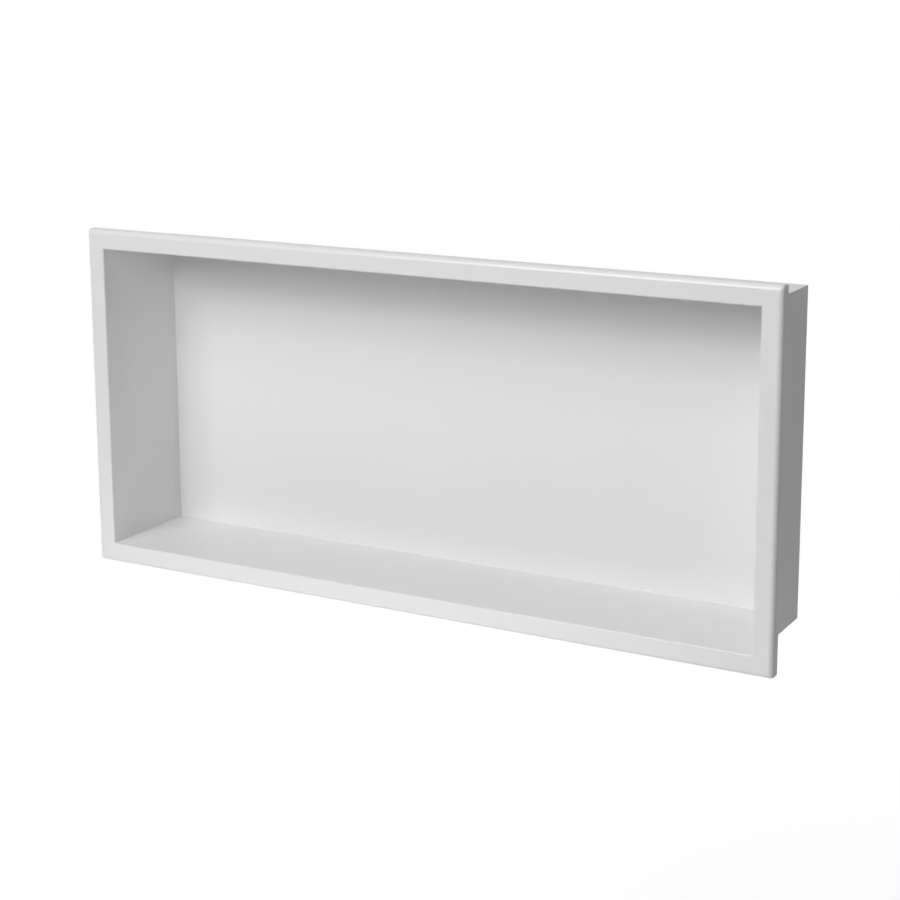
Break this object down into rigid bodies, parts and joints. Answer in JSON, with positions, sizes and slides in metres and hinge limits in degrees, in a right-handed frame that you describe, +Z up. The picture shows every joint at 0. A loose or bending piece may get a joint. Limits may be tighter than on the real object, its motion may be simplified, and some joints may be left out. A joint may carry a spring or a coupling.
{
  "type": "shower niche insert",
  "caption": "Wide, shallow sheet-metal box let into a shower wall as a shelf, open to the front, with a flat flange rolled over at its outer edge into a short return.",
  "frame": {"origin": "centre of the opening, in the plane of the wall's face, where the back edge of the flange's return rests", "axes": "+X along the wall to the right as seen from the room, +Y into the wall, +Z up"},
  "size_m": [0.634, 0.1012, 0.299],
  "materials": {
    "powder_coat": "fine matt powder coat, pale grey-white"
  },
  "bodies": {
    "root": {"niche_shell": "powder_coat"}
  },
  "joints": []
}
